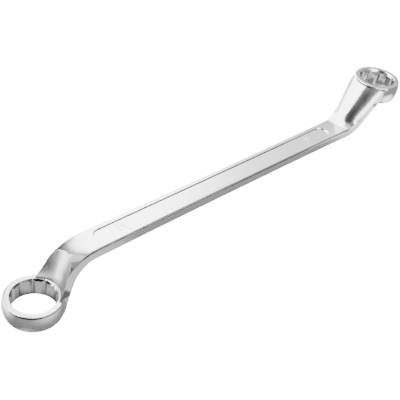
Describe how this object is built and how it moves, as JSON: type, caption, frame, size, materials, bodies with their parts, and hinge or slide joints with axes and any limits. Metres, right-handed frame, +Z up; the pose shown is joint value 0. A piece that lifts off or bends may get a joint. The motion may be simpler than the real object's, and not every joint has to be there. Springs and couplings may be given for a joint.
{
  "type": "double-ended ring spanner",
  "caption": "Deep-offset double-ended ring spanner, one forged piece with a cranked neck and a twelve-point ring at each end.",
  "frame": {"origin": "on the axis of the 19 mm ring, in that ring's lower free face", "axes": "+X runs along the shank to the axis of the 18 mm ring, +Z runs up along the rings' axes from the 19 mm ring's free face towards the shank"},
  "size_m": [0.2681, 0.0288, 0.0514],
  "materials": {
    "chrome_steel": "satin"
  },
  "bodies": {
    "root": {"spanner_forging": "chrome_steel"}
  },
  "joints": []
}
